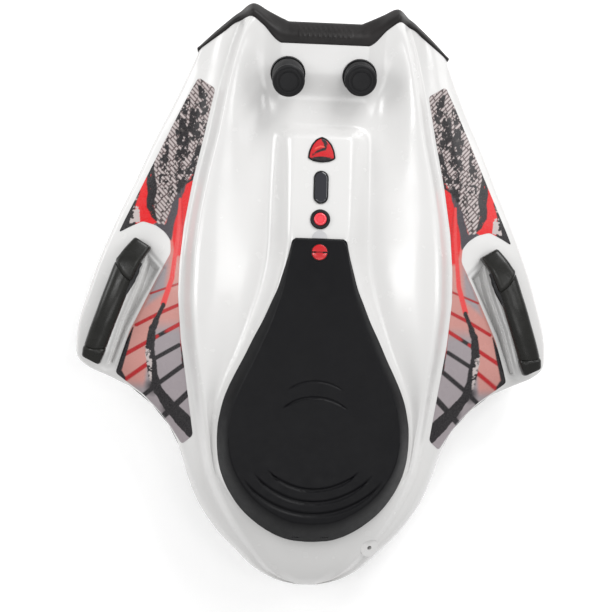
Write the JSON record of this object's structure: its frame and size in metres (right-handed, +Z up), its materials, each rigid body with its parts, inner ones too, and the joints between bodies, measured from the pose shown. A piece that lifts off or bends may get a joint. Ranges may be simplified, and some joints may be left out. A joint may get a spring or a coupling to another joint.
{
  "type": "underwater scooter",
  "caption": "Body-board style electric underwater scooter with winged hull, recessed side grips, teardrop battery lid and twin ducted thrusters.",
  "frame": {"origin": "resting plane under the skids, midway along and across the board", "axes": "+Z up, +Y towards the nose, +X towards the rider's right hand"},
  "size_m": [0.74, 0.89, 0.2153],
  "materials": {
    "gloss_white": "gloss",
    "black_rubber": "satin, fine grained",
    "black_plastic": "satin",
    "lid_plastic": "fine textured satin",
    "print_film": "gloss printed film",
    "red_plastic": "gloss",
    "dark_glass": "clear hard coat",
    "circuit_board": "satin",
    "steel": "satin",
    "aluminium": "anodised",
    "grey_plastic": "satin",
    "brass": "satin",
    "cable_jacket": "matte",
    "foam_seal": "matte"
  },
  "bodies": {
    "board": {"deck_shell": "gloss_white", "hull_shell": "gloss_white", "front_bumper": "black_rubber", "perimeter_gasket": "foam_seal", "left_decal": "print_film", "right_decal": "print_film", "badge": "red_plastic", "display_bezel": "black_plastic", "display_lens": "dark_glass", "display_board": "circuit_board", "button_bezel": "black_plastic", "button_switch": "circuit_board", "button_spring": "steel", "lid_seal": "foam_seal", "lid_hinge_pin": "steel", "lid_hinge_brackets": "steel", "lock_socket": "steel", "battery_tray": "black_plastic", "battery_pack": "grey_plastic", "battery_handle": "black_plastic", "bay_connector": "brass", "left_controller": "aluminium", "right_controller": "aluminium", "left_duct": "black_plastic", "right_duct": "black_plastic", "left_motor": "aluminium", "right_motor": "aluminium", "motor_bearings": "steel", "left_grille": "black_plastic", "right_grille": "black_plastic", "pod_cups": "gloss_white", "left_grip": "black_rubber", "right_grip": "black_rubber", "trigger_pins": "steel", "left_trigger_spring": "steel", "right_trigger_spring": "steel", "left_well": "black_plastic", "right_well": "black_plastic", "tail_insert": "gloss_white", "keel_skids": "black_rubber", "shell_screws": "steel", "grip_screws": "steel", "bumper_screws": "steel", "phase_cables": "cable_jacket", "finger_notch": "grey_plastic"},
    "lid": {"battery_lid": "lid_plastic"},
    "lid_lock_knob": {"lid_lock": "red_plastic"},
    "power_button": {"button_cap": "red_plastic"},
    "left_nose_plug": {"left_plug": "black_rubber"},
    "right_nose_plug": {"right_plug": "black_rubber"},
    "left_throttle": {"left_trigger": "black_plastic"},
    "right_throttle": {"right_trigger": "black_plastic"},
    "left_prop": {"left_shaft": "steel", "left_propeller": "black_plastic", "left_prop_nut": "brass"},
    "right_prop": {"right_shaft": "steel", "right_propeller": "black_plastic", "right_prop_nut": "brass"}
  },
  "joints": [
    {"name": "lid_hinge", "type": "hinge", "parent": "board", "child": "lid", "pos_m": [0, -0.357, 0.157], "axis": [1, 0, 0], "range_deg": [0, 65]},
    {"name": "lock_turn", "type": "hinge", "parent": "lid", "child": "lid_lock_knob", "pos_m": [0, 0.071, 0.186], "axis": [0, 0, 1], "range_deg": [0, 90]},
    {"name": "button_press", "type": "slide", "parent": "board", "child": "power_button", "axis": [0, 0.0499, 0.9988], "range_m": [-0.002, 0], "stiffness_N_per_m": 400, "deforming": ["button_spring"]},
    {"name": "left_plug_slide", "type": "slide", "parent": "board", "child": "left_nose_plug", "axis": [0, -0.4226, 0.9063], "range_m": [-0.02, 0]},
    {"name": "right_plug_slide", "type": "slide", "parent": "board", "child": "right_nose_plug", "axis": [0, -0.4226, 0.9063], "range_m": [0, 0.02]},
    {"name": "left_trigger_pull", "type": "hinge", "parent": "board", "child": "left_throttle", "pos_m": [-0.27428, 0.05069, 0.1395], "axis": [0, 0, 1], "range_deg": [-7, 0], "stiffness_Nm_per_rad": 0.6},
    {"name": "right_trigger_pull", "type": "hinge", "parent": "board", "child": "right_throttle", "pos_m": [0.27428, 0.05069, 0.1395], "axis": [0, 0, 1], "range_deg": [0, 7], "stiffness_Nm_per_rad": 0.6},
    {"name": "left_prop_spin", "type": "hinge", "parent": "board", "child": "left_prop", "pos_m": [-0.112, -0.17, 0.054], "axis": [0, 1, 0], "continuous": true},
    {"name": "right_prop_spin", "type": "hinge", "parent": "board", "child": "right_prop", "pos_m": [0.112, -0.17, 0.054], "axis": [0, 1, 0], "continuous": true}
  ]
}
